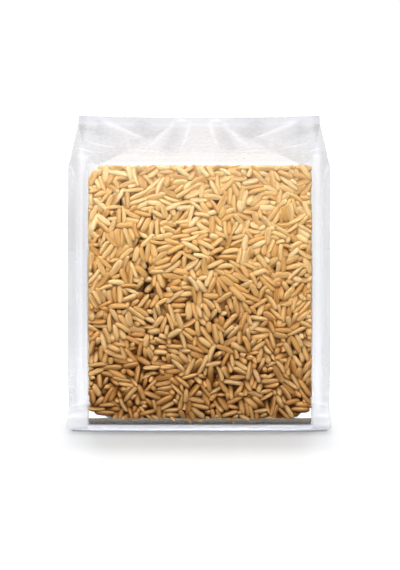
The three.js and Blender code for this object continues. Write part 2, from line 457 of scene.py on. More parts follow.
def noise(tree, place, scale, detail, roughness=0.5):
    inputs = {"Vector": place, "Scale": scale, "Detail": detail, "Roughness": roughness}
    return add_node(tree, "ShaderNodeTexNoise", inputs).outputs["Fac"]


def bumpy(tree, height, strength, distance):
    """The normal of a surface with fine relief, `distance` metres high."""
    inputs = {"Height": height, "Strength": strength, "Distance": distance}
    return add_node(tree, "ShaderNodeBump", inputs).outputs["Normal"]


def shader(tree, kind, inputs=None):
    return add_node(tree, kind, inputs).outputs[0]


def mix_shaders(tree, share, first, second):
    return shader(tree, "ShaderNodeMixShader", {0: share, 1: first, 2: second})


def finish_material(tree, surface):
    add_node(tree, "ShaderNodeOutputMaterial", {"Surface": surface})


def mix_colour(tree, share, low, high, blend_type="MIX"):
    """Mixes two colours, each a socket or a fixed colour, by a share that is a socket or a number."""
    first, second = (c if isinstance(c, bpy.types.NodeSocket) else (*c, 1.0) for c in (low, high))
    inputs = {0: share, 6: first, 7: second}
    return add_node(tree, "ShaderNodeMix", inputs, data_type="RGBA", blend_type=blend_type).outputs[2]


def calc(tree, operation, *values, clamp=False):
    inputs = dict(enumerate(values))
    return add_node(tree, "ShaderNodeMath", inputs, operation=operation, use_clamp=clamp).outputs[0]


def spread(tree, value, low, high, to_low=0.0, to_high=1.0, kind="SMOOTHSTEP"):
    inputs = {0: value, 1: low, 2: high, 3: to_low, 4: to_high}
    return add_node(tree, "ShaderNodeMapRange", inputs, interpolation_type=kind).outputs[0]


FILM_GREY = (0.25, 0.255, 0.285)
FILM_WHITE = (0.91, 0.925, 0.99)
HEAD_ON_SHINE = 0.0025  # the share of light a film reflects, seen head on
GLANCING_SHINE = 0.3  # and how much more of it, seen along its face
FILM_CLOUDS = 0.24  # how much the film's tone wanders
CLOUD_SCALE = 60.0
FINE_SCALE = 420.0
THROUGH_LIGHT = 0.2  # the share of a milky film's light that has come through it from behind


def film_material():
    """Clear polymer film: see-through where it isn't milky, and glossy all over."""
    material, tree = new_material("clear_film")
    place = object_place(tree)
    cloud = noise(tree, place, CLOUD_SCALE, 4.0, 0.55)
    fine = noise(tree, place, FINE_SCALE, 3.0, 0.6)
    wander = calc(tree, "MULTIPLY_ADD", cloud, FILM_CLOUDS, -FILM_CLOUDS / 2)
    tone = calc(tree, "ADD", read_field(tree, "tone"), wander, clamp=True)
    colour = mix_colour(tree, tone, FILM_GREY, FILM_WHITE)
    normal = bumpy(tree, fine, 0.15, 0.0003)
    body = shader(tree, "ShaderNodeBsdfPrincipled", {
        "Base Color": colour,
        "Normal": normal,
        "Roughness": spread(tree, fine, 0.3, 0.7, 0.22, 0.34),
        "Specular IOR Level": 0.3,
    })
    backlit = shader(tree, "ShaderNodeBsdfTranslucent", {"Color": colour})
    milky = mix_shaders(tree, THROUGH_LIGHT, body, backlit)
    clear = shader(tree, "ShaderNodeBsdfTransparent")
    film = mix_shaders(tree, read_field(tree, "milk"), clear, milky)
    shine = shader(tree, "ShaderNodeBsdfGlossy", {"Roughness": 0.12, "Normal": normal})
    facing = add_node(tree, "ShaderNodeLayerWeight", {"Normal": normal}).outputs["Facing"]
    glancing = calc(tree, "POWER", facing, 5.0)
    shine_share = calc(tree, "MULTIPLY_ADD", glancing, GLANCING_SHINE, HEAD_ON_SHINE)
    finish_material(tree, mix_shaders(tree, shine_share, film, shine))
    return material


TOP_PAINTED_LIGHT_TINT = (0.97, 1.05, 1.10)  # painted light: what tints the groats paler at the top of the heap
FOOT_PAINTED_SHADE_TINT = (1.0, 0.87, 0.74)  # painted shade: what tints the groats darker and browner towards the foot of the heap
PAINTED_SHADE_TINT = (1.0, 0.87, 0.62)  # painted shade: what tints them where they lie a little under others
TOP_PAINTED_SHADE = 0.08  # how much of the painted shade there is at the top of the heap
PAINTED_SHADE_BROWN = (0.17, 0.05, 0.003)  # painted shade: the groats' colour where they lie under others


def groat_material(name, pale, rich, dark):
    """A matt, faintly fibrous skin, darker in its crease and at its germ end, with painted shade deep in the
    heap and painted light and shade from its top to its foot.
    """
    material, tree = new_material(name)
    lengthwise = read_field(tree, "lengthwise", "Vector")
    fibre = noise(tree, lengthwise, 2.6, 4.0, 0.65)
    blotch = noise(tree, lengthwise, 0.55, 2.0)
    share = calc(tree, "MULTIPLY_ADD", blotch, 0.9, -0.3)
    share = calc(tree, "MULTIPLY_ADD", read_field(tree, "tone"), 0.7, share, clamp=True)
    colour = mix_colour(tree, share, pale, rich)
    colour = mix_colour(tree, spread(tree, fibre, 0.52, 0.78, 0.0, 0.35), colour, rich)
    colour = mix_colour(tree, calc(tree, "MULTIPLY", read_field(tree, "crease"), 0.75), colour, dark)

    place = add_node(tree, "ShaderNodeSeparateXYZ", {0: object_place(tree)})
    # painted light and shade: the groats are paler at the top of the heap, darker and browner towards its
    # foot
    low = spread(tree, place.outputs["Z"], 0.125, 0.004, kind="LINEAR")
    painted_height_tint = mix_colour(tree, low, TOP_PAINTED_LIGHT_TINT, FOOT_PAINTED_SHADE_TINT)
    colour = mix_colour(tree, 1.0, colour, painted_height_tint, "MULTIPLY")
    most_painted_shade = calc(tree, "MULTIPLY_ADD", calc(tree, "POWER", low, 0.75), 1 - TOP_PAINTED_SHADE, TOP_PAINTED_SHADE)
    # painted shade: darker and browner where groats lie under others
    painted_shade_here = calc(tree, "MULTIPLY", read_field(tree, "buried"), most_painted_shade)
    colour = mix_colour(tree, painted_shade_here, colour, PAINTED_SHADE_TINT, "MULTIPLY")
    colour = mix_colour(tree, painted_shade_here, colour, PAINTED_SHADE_BROWN)
    skin = shader(tree, "ShaderNodeBsdfPrincipled", {
        "Base Color": colour,
        "Normal": bumpy(tree, fibre, 0.35, 0.00012),
        "Roughness": spread(tree, fibre, 0.3, 0.7, 0.48, 0.66),
        "Specular IOR Level": 0.2,
    })
    finish_material(tree, skin)
    return material


def matt_material(name, light, deep, scale):
    """A rough, gritty surface in two colours."""
    material, tree = new_material(name)
    grit = noise(tree, object_place(tree), scale, 5.0, 0.7)
    body = shader(tree, "ShaderNodeBsdfPrincipled", {
        "Base Color": mix_colour(tree, spread(tree, grit, 0.35, 0.65), deep, light),
        "Normal": bumpy(tree, grit, 0.6, 0.0004),
        "Roughness": 0.85,
    })
    finish_material(tree, body)
    return material


# ======== The film's pieces
# start, end, pitch
PANEL_LEVELS = stretches(
    (0.0, 15.0, 0.5),
    (15.0, 118.0, 2.2),
    (118.0, 142.0, 0.6),
    (142.0, UP_TO_TOP, 0.8),
)
FIN_SHARE = HALF_BLOCK / (WIDTH / 2)
PANEL_COLUMNS = stretches(
    (-1.0, -FIN_SHARE, 0.012),
    (-FIN_SHARE, FIN_SHARE, 0.0135),
    (FIN_SHARE, 1.0, 0.012),
)


def panel_sheet():
    """The front panel with its folds: points, milk and tone."""
    up = PANEL_LEVELS[:, None]
    x = half_width(up) * PANEL_COLUMNS[None, :]
    rise, _ = fold_fields(PANEL_FOLDS, x, up)
    points = panel_point(x, up, inset=-rise)
    milk, tone = panel_fields(x, up)
    return points, milk, tone


GUSSET_LEVELS = stretches(
    (0.6, BOTTOM_ROUND + 1, 0.6),
    (BOTTOM_ROUND + 1, 118.0, 2.5),
    (118.0, UP_TO_TOP - 0.3, 0.9),
)
GUSSET_CORNER = 0.45  # softness of the folds where the gusset turns along a panel
WELD = 0.45  # how far behind a panel's face the gusset's flange lies
GUSSET_MILK = {"roof": 0.02, "flap": 0.10, "fin": 0.04, "foot": 0.7}
GUSSET_HEM = 2.2  # height of the milky weld at the gusset's foot
GUSSET_TONE = 0.62
GUSSET_FOLD_TONE = 0.25  # how much paler the gusset is along its middle fold


def gusset_sheet():
    """The right gusset: wall, flanges in the fins and, above the shoulder, tucked roof and flaps."""
    up = GUSSET_LEVELS[:, None]
    width = HALF_DEPTH + FIN - 0.3
    half = stretches((0.0, width, 0.8))
    flat = np.concatenate([-half[:0:-1], half])[None, :]
    across = np.abs(flat)
    slope = along_slope(up)
    turn_at = HALF_DEPTH * (1 - slope)
    out = ramp(across - turn_at, GUSSET_CORNER) - ramp(-turn_at, GUSSET_CORNER)
    inward = across - out
    start = HALF_BLOCK - HALF_DEPTH * slope
    taper = 1 - (1 - (half_width(up) - HALF_BLOCK) / FIN) * step(across - HALF_DEPTH, 0.5)
    x = start + out * taper
    on_panel = step(across - turn_at, 1.2)
    front = panel_point(x, up, relief_share=on_panel, inset=WELD)
    back = half_turn(panel_point(-x, up, relief_share=on_panel, inset=WELD))
    side = (flat > 0)[..., None]
    points = np.where(side, back, front)
    away = turn_at - inward
    points[..., 1] += np.where(flat > 0, -away, away)
    points[..., 0] += gusset_bulge(flat, up) * (1 - on_panel) * (up < SHOULDER)
    fin = step(across - HALF_DEPTH, 0.3)
    flap = step(across - turn_at, 0.8) * step(up - SHOULDER, 0.8)
    milk = blend(CLEAR_MILK, GUSSET_MILK["roof"], step(up - SHOULDER + 2, 1.0))
    milk = blend(milk, GUSSET_MILK["flap"], flap)
    milk = blend(milk, GUSSET_MILK["fin"], fin)
    milk = blend(milk, GUSSET_MILK["foot"], step(GUSSET_HEM - up, 0.3))
    tone = np.broadcast_to(GUSSET_TONE + GUSSET_FOLD_TONE * bell(flat / 1.6), milk.shape)
    return points, milk, tone


BOTTOM_LIFT = 0.35
BOTTOM_RIM = 3.2  # how far the bottom film rises at its rim
BOTTOM_MILK = 0.12
BOTTOM_CREASE = 0.3  # how much paler the bottom is along its folds


def bottom_sheet():
    """The bottom film: flat on the floor, and round at its rim."""
    u = np.linspace(-1.0, 1.0, 60)[None, :]
    v = np.linspace(-1.0, 1.0, 44)[:, None]
    rim = np.maximum(np.abs(u), np.abs(v)) ** 14
    x = (HALF_BLOCK + 0.2) * u + 0 * v
    y = (HALF_DEPTH - 0.3) * v + 0 * u
    z = BOTTOM_LIFT + BOTTOM_RIM * rim + 0.12 * np.sin(3 * u + 5 * v) * (1 - rim)
    folds = BOTTOM_CREASE * bell((np.abs(x) - np.abs(y) - 14.0) / 1.2)
    points = np.stack([x, y, z + 0.2 * folds], axis=-1)
    return points, BOTTOM_MILK + 0.3 * folds, 0.5 + folds


FLAP_WIDTH = 9.0
FLAP_TOP = 10.4
FLAP_FOOT = 5.2
FLAP_TUCK = 1.6  # how far the flap reaches below its foot
FLAP_LEAN = 4.5  # how much further back its upper edge lies
FLAP_MILK = 0.85


def corner_flap():
    """The folded film that fills the lower corner at the right of the front panel, where no groats lie."""
    u = np.linspace(0.0, 1.0, 14)[None, :]
    v = np.linspace(0.0, 1.0, 10)[:, None]
    x = HALF_BLOCK - 0.3 - FLAP_WIDTH * (1 - u) + 0 * v
    top = FLAP_FOOT + (FLAP_TOP - FLAP_FOOT) * u**0.7
    z = FLAP_FOOT - FLAP_TUCK + (top - FLAP_FOOT + FLAP_TUCK) * v
    y = -HALF_DEPTH + 0.9 + FLAP_LEAN * v - 0.2 * np.sin(9 * u + 4 * v)
    points = np.stack([x, y + 0 * x, z], axis=-1)
    return points, np.full(x.shape, FLAP_MILK), np.ones(x.shape)


def panel_rim():
    """The cut edge of a panel: up its left fin, along the seal and down its right fin."""
    levels = stretches((0.9, UP_TO_TOP - 1.0, 1.5))
    up_left = panel_point(-half_width(levels), levels, inset=0.2)
    across = np.linspace(-1.0, 1.0, 90)
    seal_half = half_width(np.array(UP_TO_TOP)) - 0.9
    along_top = panel_point(seal_half * across, np.full(across.shape, UP_TO_TOP - 0.15), inset=0.2)
    down_right = panel_point(half_width(levels[::-1]), levels[::-1], inset=0.2)
    return np.vstack([up_left, along_top, down_right])


EDGE_RADII = (0.28, 0.3)
EDGE_TONE = 0.7
EDGE_MILK = {"front": 0.12, "back": 0.03}
HEM_BEAD_MILK = 0.92
HEM_RADII = (0.52, 0.6)
# painted highlight and shade along the hem bead
HEM_HIGHLIGHT_HALF = 50.0
HEM_PAINTED_SHADE = 0.2


def hem_painted_highlight(x):
    """A painted highlight along the hem bead: white in the middle, with painted shade greyer towards its
    ends.
    """
    past = step(np.abs(x + 2) - HEM_HIGHLIGHT_HALF, 2.0)
    return 1.0 - HEM_PAINTED_SHADE * (x / HEM_HIGHLIGHT_HALF) ** 2 - HEM_PAINTED_SHADE * past


def add_film(film):
    points, milk, tone = panel_sheet()
    pieces = [
        add_sheet("front_film", points, milk, tone, film),
        add_sheet("back_film", half_turn(points), BACK_MILK_SHARE * milk, tone, film),
    ]
    points, milk, tone = gusset_sheet()
    pieces.append(add_sheet("right_gusset_film", points, milk, tone, film))
    pieces.append(add_sheet("left_gusset_film", half_turn(points), milk, tone, film))
    pieces.append(add_sheet("bottom_film", *bottom_sheet(), film))
    points, milk, tone = corner_flap()
    mirror = np.array([-1.0, 1.0, 1.0])
    corners = {"front_right": points, "front_left": points * mirror}
    corners.update({"back_left": half_turn(points), "back_right": half_turn(points * mirror)})
    for corner, flap in corners.items():
        pieces.append(add_sheet(f"{corner}_flap", flap, milk, tone, film))
    rim = panel_rim()
    for face, path in (("front", rim), ("back", half_turn(rim))):
        name = f"{face}_film_edge"
        pieces.append(add_tube(name, path, EDGE_RADII, film, tone=EDGE_TONE, milk=EDGE_MILK[face]))
    reach = half_width(np.array(1.0)) - 2.4
    x = np.linspace(-reach, reach, 120)
    hem = panel_point(x, np.full(x.shape, HEM_BEAD), inset=-0.1)
    hem[:, 2] = HEM_BEAD
    for name, path in (("front_hem", hem), ("back_hem", half_turn(hem))):
        pieces.append(add_tube(name, path, HEM_RADII, film, 14, hem_painted_highlight(x), HEM_BEAD_MILK))
    return pieces


# ======== The groats
SEED = 20
GROAT_LENGTH = 8.9
GROAT_WIDTH = 3.1
SHELL = 6.2  # how deep the layer of separate groats is
PACKING = 0.78  # the share of that layer that is groat
BROKEN_SHARE = 0.07  # the share of the groats that are broken
BROKEN_CUT = 0.62  # where along its half length a broken groat ends
GROAT_FULLNESS = 0.46  # a groat's volume as a share of the box round it
TILT = 0.42  # how much the groats lean out of the film's plane, in radians
CREASE_DEPTH = 0.26
CONTENTS_FOOT = 1.4
TOP_CORNER = 6.0  # the empty corner at the contents' upper left
FRONT_FOOT_LIFT = 1.5  # how much higher the contents' foot is round at the front than at the sides
FILM_GAP = 0.35
FRONT_HOLLOW = 0.4  # half of the depth of the hollows between groats and film
SIDE_HOLLOW = 0.3
HOLLOW_SIZE = 13.0
TOP_HOLLOW = 0.3
TOP_HOLLOW_SIZE = 17.0
LENGTH_SPREAD = 0.12
WIDTH_SPREAD = 0.1
BEADS = np.array([-0.76, -0.39, 0.0, 0.39, 0.76])  # a groat is five balls while it is packed
BEAD_SIZES = np.array([0.66, 0.92, 1.0, 0.92, 0.66])
BEAD_GIRTH = 0.45  # the largest ball's radius as a share of the groat's width
BEAD_INSET = 0.35  # how much shorter the row of balls is than the groat, as a share of its width
# The empty lower corners: (x, z) where the contents' sides and floor are cut off
CORNER_SIDE = 10.2
CORNER_FOOT = 9.5
CORNER_START = 5.6


def roughness_field(a, b, size, seed):
    """Smooth unevenness from -1 to 1 over two coordinates, with bumps of about `size` millimetres."""
    total = np.zeros(np.broadcast(a, b).shape)
    for k in range(5):
        angle = 1.3 * k + seed
        wave = 2 * math.pi / (size * (0.8 + 0.35 * k))
        total += np.sin(wave * (a * math.cos(angle) + b * math.sin(angle)) + 2.1 * k * seed)
    return total / 3.2


def foot_inset(under):
    """How far the contents draw in, `under` millimetres below the start of their rounded foot."""
    under = np.clip(under, 0, BOTTOM_ROUND)
    return BOTTOM_ROUND - np.sqrt(np.clip(BOTTOM_ROUND**2 - under**2, 0, None))


def front_wall(x, z):
    """How far from the middle plane the contents reach at the front or the back."""
    hollow = FRONT_HOLLOW * (1 + roughness_field(x, z, HOLLOW_SIZE, 2.0))
    inset = foot_inset(BOTTOM_ROUND + FRONT_FOOT_LIFT - z)
    return HALF_DEPTH + panel_bulge(x, z) - FILM_GAP - hollow - inset


def side_wall(y, z):
    """How far from the middle plane the contents reach at a side."""
    hollow = SIDE_HOLLOW * (1 + roughness_field(y, z, HOLLOW_SIZE, 1.0))
    return HALF_BLOCK + gusset_bulge(y, z) - FILM_GAP - hollow - foot_inset(BOTTOM_ROUND - z)


def contents_top(x, y):
    corner = TOP_CORNER * clamp01((np.abs(x) - HALF_BLOCK + TOP_CORNER) / TOP_CORNER) * (x < 0)
    unevenness = TOP_HOLLOW * (1 + roughness_field(x, y, TOP_HOLLOW_SIZE, 3.0))
    return CONTENTS_TOP - corner - unevenness * clamp01((HALF_DEPTH - np.abs(y)) / 12)


def corner_cut(x, z):
    """How far a place lies past the empty lower corners' slanting faces."""
    run = CORNER_SIDE - CORNER_START
    length = math.hypot(run, CORNER_FOOT)
    inner = HALF_BLOCK - CORNER_FOOT
    return ((np.abs(x) - inner) * run - (z - CORNER_START) * CORNER_FOOT) / length


# Which cells round a cell are searched: the column's place, and the first and the last cell in it
NEXT_CELLS = (
    ((0, 0), (0, 1)),
    ((0, 1), (-1, 1)),
    ((1, -1), (-1, 1)),
    ((1, 0), (-1, 1)),
    ((1, 1), (-1, 1)),
)


def near_pairs(points, reach):
    """Index pairs of points that are less than `reach` apart, by sorting them into cells."""
    cell = np.floor((points - points.min(0)) / reach).astype(np.int64) + 1
    spans = cell.max(0) + 2
    key = (cell[:, 0] * spans[1] + cell[:, 1]) * spans[2] + cell[:, 2]
    order = np.argsort(key, kind="stable")
    ranked = key[order]
    found = []
    for column, (first, last) in NEXT_CELLS:
        shift = (column[0] * spans[1] + column[1]) * spans[2]
        low = np.searchsorted(ranked, ranked + shift + first, "left")
        high = np.searchsorted(ranked, ranked + shift + last, "right")
        if column == (0, 0):
            low = np.arange(len(order)) + 1
        count = np.maximum(high - low, 0)
        left = np.repeat(np.arange(len(order)), count)
        within = np.arange(count.sum()) - np.repeat(np.cumsum(count) - count, count)
        right = np.repeat(low, count) + within
        a, b = order[left], order[right]
        close = ((points[a] - points[b]) ** 2).sum(1) < reach * reach
        found.append((a[close], b[close]))
    return np.concatenate([f[0] for f in found]), np.concatenate([f[1] for f in found])


def push_inside(beads, size):
    """Moves the balls to the inside of the film and out of the core."""
    x, y, z = beads.T
    far_x = side_wall(y, z) - size
    far_y = front_wall(x, z) - size
    x = np.clip(x, -far_x, far_x)
    y = np.clip(y, -far_y, far_y)
    z = np.minimum(z, contents_top(x, y) - size)
    z = np.maximum(z, CONTENTS_FOOT + size)
    run = CORNER_SIDE - CORNER_START
    length = math.hypot(run, CORNER_FOOT)
    past = np.maximum(corner_cut(x, z) + size, 0)
    x = x - np.sign(x) * past * run / length
    z = z + past * CORNER_FOOT / length
    moved = np.stack([x, y, z])
    room = np.stack([moved - CORE_LOW[:, None], CORE_HIGH[:, None] - moved], axis=1)
    room = room.reshape(6, -1) + 0.6 * size
    nearest = room.argmin(0)
    depth = np.maximum(room.min(0), 0.0)
    for axis in range(3):
        moved[axis] -= np.where(nearest == 2 * axis, depth, 0)
        moved[axis] += np.where(nearest == 2 * axis + 1, depth, 0)
    return np.stack(moved, axis=1)


CORE_LOW = np.array([-HALF_BLOCK + SHELL, -HALF_DEPTH + SHELL, CONTENTS_FOOT + SHELL - 1.0])
CORE_HIGH = np.array([HALF_BLOCK - SHELL, HALF_DEPTH - SHELL, CONTENTS_TOP - SHELL])


def along_face(normal, angle):
    """Directions across a face, turned by an angle."""
    first, second = np.roll(normal, 1, axis=1), np.roll(normal, 2, axis=1)
    return first * np.cos(angle)[:, None] + second * np.sin(angle)[:, None]


def scatter_groats(draw):
    """Random groats in the layer under the film: middles, directions, lengths and widths."""
    low = np.array([-HALF_BLOCK, -HALF_DEPTH, CONTENTS_FOOT])
    high = np.array([HALF_BLOCK, HALF_DEPTH, CONTENTS_TOP])
    shell_volume = np.prod(high - low) - np.prod(CORE_HIGH - CORE_LOW)
    groat_volume = GROAT_FULLNESS * GROAT_LENGTH * GROAT_WIDTH**2
    wanted = int(PACKING * shell_volume / groat_volume)
    places = draw.uniform(low, high, (wanted * 4, 3))
    in_core = np.all((places > CORE_LOW) & (places < CORE_HIGH), axis=1)
    in_corner = corner_cut(places[:, 0], places[:, 2]) > -1.5
    places = places[~in_core & ~in_corner][:wanted]
    wanted = len(places)
    to_faces = np.stack([
        HALF_BLOCK - np.abs(places[:, 0]),
        HALF_DEPTH - np.abs(places[:, 1]),
        np.minimum(CONTENTS_TOP - places[:, 2], places[:, 2] - CONTENTS_FOOT),
    ], axis=1)
    normal = np.eye(3)[to_faces.argmin(1)]
    flat = along_face(normal, draw.uniform(0, 2 * math.pi, wanted))
    tilt = draw.normal(0.0, TILT, wanted)
    direction = flat * np.cos(tilt)[:, None] + normal * np.sin(tilt)[:, None]
    length = GROAT_LENGTH * np.clip(draw.normal(1.0, LENGTH_SPREAD, wanted), 0.68, 1.3)
    broken = draw.random(wanted) < BROKEN_SHARE
    length = np.where(broken, length * draw.uniform(0.5, 0.72, wanted), length)
    width = GROAT_WIDTH * np.clip(draw.normal(1.0, WIDTH_SPREAD, wanted), 0.78, 1.25)
    return places, direction, length, width, broken


ROUNDS = 130
SEARCH_EVERY = 5  # rounds between two searches for balls that are near each other
SEARCH_MARGIN = 0.35
SETTLING = 0.025  # how far a groat moves towards the film each time
PUSH = 1.5  # how strongly overlapping balls part


def nearest_face(places):
    """The direction from each place to the nearest side of the contents."""
    x, y, z = places.T
    room = np.stack([HALF_BLOCK - np.abs(x), HALF_DEPTH - np.abs(y), CONTENTS_TOP - z], axis=1)
    toward = np.stack([np.sign(x), np.sign(y), np.ones(len(places))], axis=1)
    return np.eye(3)[room.argmin(1)] * toward


def pack_groats(draw):
    """Pushes overlapping groats apart until they lie against each other inside the film."""
    middle, direction, length, width, broken = scatter_groats(draw)
    count = len(middle)
    offset = BEADS[None, :] * (length[:, None] - width[:, None] * BEAD_INSET) / 2
    size = (BEAD_SIZES[None, :] * width[:, None] * BEAD_GIRTH).ravel()
    owner = np.repeat(np.arange(count), len(BEADS))
    spread_of = (offset**2).sum(1)
    beads = middle[:, None] + offset[..., None] * direction[:, None]
    rounds = ROUNDS
    for turn in range(rounds):
        flat = beads.reshape(-1, 3)
        if turn % SEARCH_EVERY == 0:
            a, b = near_pairs(flat, 2 * size.max() + SEARCH_MARGIN)
            apart = owner[a] != owner[b]
            a, b = a[apart], b[apart]
        gap = flat[a] - flat[b]
        far = np.sqrt((gap**2).sum(1)) + 1e-9
        overlap = size[a] + size[b] - far
        hit = overlap > 0
        push = gap[hit] * (overlap[hit] / far[hit] * 0.5)[:, None]
        moved = np.zeros_like(flat)
        touches = np.bincount(a[hit], minlength=len(flat)) + np.bincount(b[hit], minlength=len(flat))
        for axis in range(3):
            moved[:, axis] += np.bincount(a[hit], push[:, axis], minlength=len(flat))
            moved[:, axis] -= np.bincount(b[hit], push[:, axis], minlength=len(flat))
        flat = flat + moved * (PUSH / np.maximum(touches, PUSH))[:, None]
        flat = push_inside(flat, size)
        beads = flat.reshape(count, len(BEADS), 3)
        middle = beads.mean(1) + SETTLING * nearest_face(beads.mean(1))
        direction = normalised((beads * offset[..., None]).sum(1) / spread_of[:, None])
        beads = middle[:, None] + offset[..., None] * direction[:, None]
    return middle, direction, length, width, broken


GAP_DEPTH = 3.3  # how deep under the film a gap is looked for
GAP_SIZE = 2.15  # a gap is a place with no ball's middle this near
GAP_STEP = 1.1
GAP_SPACING = 3.6  # the least distance between two groats that fill gaps


def gap_places():
    """A grid of places a little under each face of the contents, and each face's direction."""
    across = np.arange(-HALF_BLOCK + 3, HALF_BLOCK - 3, GAP_STEP)
    deep = np.arange(-HALF_DEPTH + 4, HALF_DEPTH - 4, GAP_STEP)
    upwards = np.arange(CONTENTS_FOOT + 3, CONTENTS_TOP - 3, GAP_STEP)
    places, faces = [], []
    for side in (-1, 1):
        x, z = (g.ravel() for g in np.meshgrid(across, upwards))
        places.append(np.stack([x, side * (front_wall(x, z) - GAP_DEPTH), z], axis=1))
        faces.append(np.full(len(x), 1))
        y, z = (g.ravel() for g in np.meshgrid(deep, upwards))
        places.append(np.stack([side * (side_wall(y, z) - GAP_DEPTH), y, z], axis=1))
        faces.append(np.full(len(y), 0))
    x, y = (g.ravel() for g in np.meshgrid(across, deep))
    places.append(np.stack([x, y, contents_top(x, y) - GAP_DEPTH], axis=1))
    faces.append(np.full(len(x), 2))
    places, faces = np.vstack(places), np.concatenate(faces)
    clear = corner_cut(places[:, 0], places[:, 2]) < -3
    return places[clear], faces[clear]


def fill_gaps(draw, middle, direction, length, width, broken):
    """Adds a groat, lying along the film, wherever the packing has left a gap behind the outer groats."""
    beads = middle[:, None] + (BEADS[None, :] * length[:, None] / 2)[..., None] * direction[:, None]
    beads = beads.reshape(-1, 3)
    tree = KDTree(len(beads))
    for i, bead in enumerate(beads):
        tree.insert(bead, i)
    tree.balance()
    places, faces = gap_places()
    found, found_faces = [], []
    for i in draw.permutation(len(places)):
        if tree.find(places[i])[2] < GAP_SIZE:
            continue
        if found and (np.linalg.norm(np.array(found) - places[i], axis=1) < GAP_SPACING).any():
            continue
        found.append(places[i])
        found_faces.append(faces[i])
    count = len(found)
    if count == 0:
        return middle, direction, length, width, broken
    along = along_face(np.eye(3)[found_faces], draw.uniform(0, math.pi, count))
    extra = GROAT_LENGTH * draw.uniform(0.75, 1.0, count)
    girth = GROAT_WIDTH * draw.uniform(0.85, 1.0, count)
    return (
        np.vstack([middle, found]),
        np.vstack([direction, along]),
        np.concatenate([length, extra]),
        np.concatenate([width, girth]),
        np.concatenate([broken, np.zeros(count, bool)]),
    )


def groat_shape(rings, sides, cut=1.0):
    """A groat of length 2 and width 2 along x: a spindle with one blunter end and a creased belly."""
    along = -np.cos(math.pi * (np.arange(rings) + 0.55) / (rings + 0.1))
    along = np.where(along > cut, cut, along)
    around = 2 * math.pi * np.arange(sides) / sides
    blunt = clamp01(1 - np.abs(along) ** 4.4) ** 0.5
    pointed = clamp01(1 - np.abs(along) ** 2.9) ** 0.6
    radius = blend(pointed, blunt, step(along, 0.35))
    belly = bell((around - 1.5 * math.pi) / 0.5)
    groove = 1 - CREASE_DEPTH * belly[None, :] * (1 - along[:, None] ** 2)
    y = radius[:, None] * np.cos(around)[None, :] * groove
    z = radius[:, None] * np.sin(around)[None, :] * groove
    x = np.broadcast_to(along[:, None], y.shape)
    points = np.stack([x, y, z], axis=-1).reshape(-1, 3)
    points = np.vstack([points, [-1.0, 0, 0], [min(cut, 1.0), 0, 0]])
    quads, at, nxt = ring_faces(rings, sides)
    tips = rings * sides
    first = np.stack([np.full(sides, tips), at[0], nxt[0]], axis=-1)
    last = np.stack([np.full(sides, tips + 1), nxt[-1], at[-1]], axis=-1)
    crease = (belly[None, :] * (1 - along[:, None] ** 4)).ravel()
    germ = bell((along[:, None] + 1.0) / 0.16) * np.ones(sides)[None, :]
    crease = np.concatenate([np.maximum(crease, 0.5 * germ.ravel()), [0.6, 0.15]])
    turn = np.concatenate([np.tile(around, rings), [0.0, 0.0]])
    return points, quads[:, [0, 3, 2, 1]], np.vstack([first, last]), crease, turn


def buried_depth(points):
    """How far each place lies under the contents' surface, in millimetres."""
    x, y, z = points.T
    return np.minimum.reduce([
        side_wall(y, z) - np.abs(x),
        front_wall(x, z) - np.abs(y),
        contents_top(x, y) - z,
        z - CONTENTS_FOOT,
    ])


# How deep the painted shade starts, and how much deeper it is full; at the foot the surface has some too
PAINTED_SHADE_START = {"top": 1.4, "foot": -0.48}
PAINTED_SHADE_REACH = {"top": 2.8, "foot": 1.2}


def painted_shade_share(points):
    """How much painted shade each place gets, from 0 to 1: at the same depth, more at the heap's foot than at
    its top.
    """
    low = clamp01(1 - points[:, 2] / CONTENTS_TOP) ** 0.6
    start = blend(PAINTED_SHADE_START["top"], PAINTED_SHADE_START["foot"], low)
    reach = blend(PAINTED_SHADE_REACH["top"], PAINTED_SHADE_REACH["foot"], low)
    return clamp01((buried_depth(points) - start) / reach) ** 1.15


def pressed_flat(points):
    """Keeps every place of the groats on the inside of the film."""
    x, y, z = points.T
    far_x = HALF_BLOCK - 0.1 + gusset_bulge(y, z)
    x = np.clip(x, -far_x, far_x)
    far_y = HALF_DEPTH - 0.3 + panel_bulge(x, z)
    return np.stack([x, np.clip(y, -far_y, far_y), z], axis=-1)


def groat_parts(groats, shape, draw):
    """The points, faces and fields of a set of groats of one shape."""
    unit, quads, caps, crease, turn = shape
    middle, direction, length, width = groats
    count, corners = len(middle), len(unit)
    across = normalised(np.cross(direction, draw.normal(size=(count, 3))))
    upright = np.cross(direction, across)
    thick = width * draw.uniform(0.80, 0.93, count)
    bend = draw.normal(0.0, 0.035, count) * length
    sway = draw.normal(0.0, 0.02, count) * length
    ux, uy, uz = unit.T
    arch = ux[None, :] ** 2 - 0.4
    px = ux[None, :] * length[:, None] / 2
    py = uy[None, :] * width[:, None] / 2 + sway[:, None] * arch
    pz = uz[None, :] * thick[:, None] / 2 + bend[:, None] * arch
    points = middle[:, None]
    for amount, axis in ((px, direction), (py, across), (pz, upright)):
        points = points + amount[..., None] * axis[:, None]
    points = pressed_flat(points.reshape(-1, 3))
    shift = (np.arange(count) * corners)[:, None, None]
    start = draw.uniform(0, 400, count)
    lengthwise = np.stack([
        ux[None, :] * 0.55 + start[:, None],
        np.broadcast_to(np.cos(turn) * 0.9, (count, corners)),
        np.broadcast_to(np.sin(turn) * 0.9, (count, corners)),
    ], axis=-1)
    fields = {
        "tone": np.repeat(draw.random(count), corners),
        "crease": np.tile(crease, count),
        "buried": painted_shade_share(points),
        "lengthwise": lengthwise.reshape(-1, 3),
    }
    return points, (quads[None] + shift).reshape(-1, 4), (caps[None] + shift).reshape(-1, 3), fields


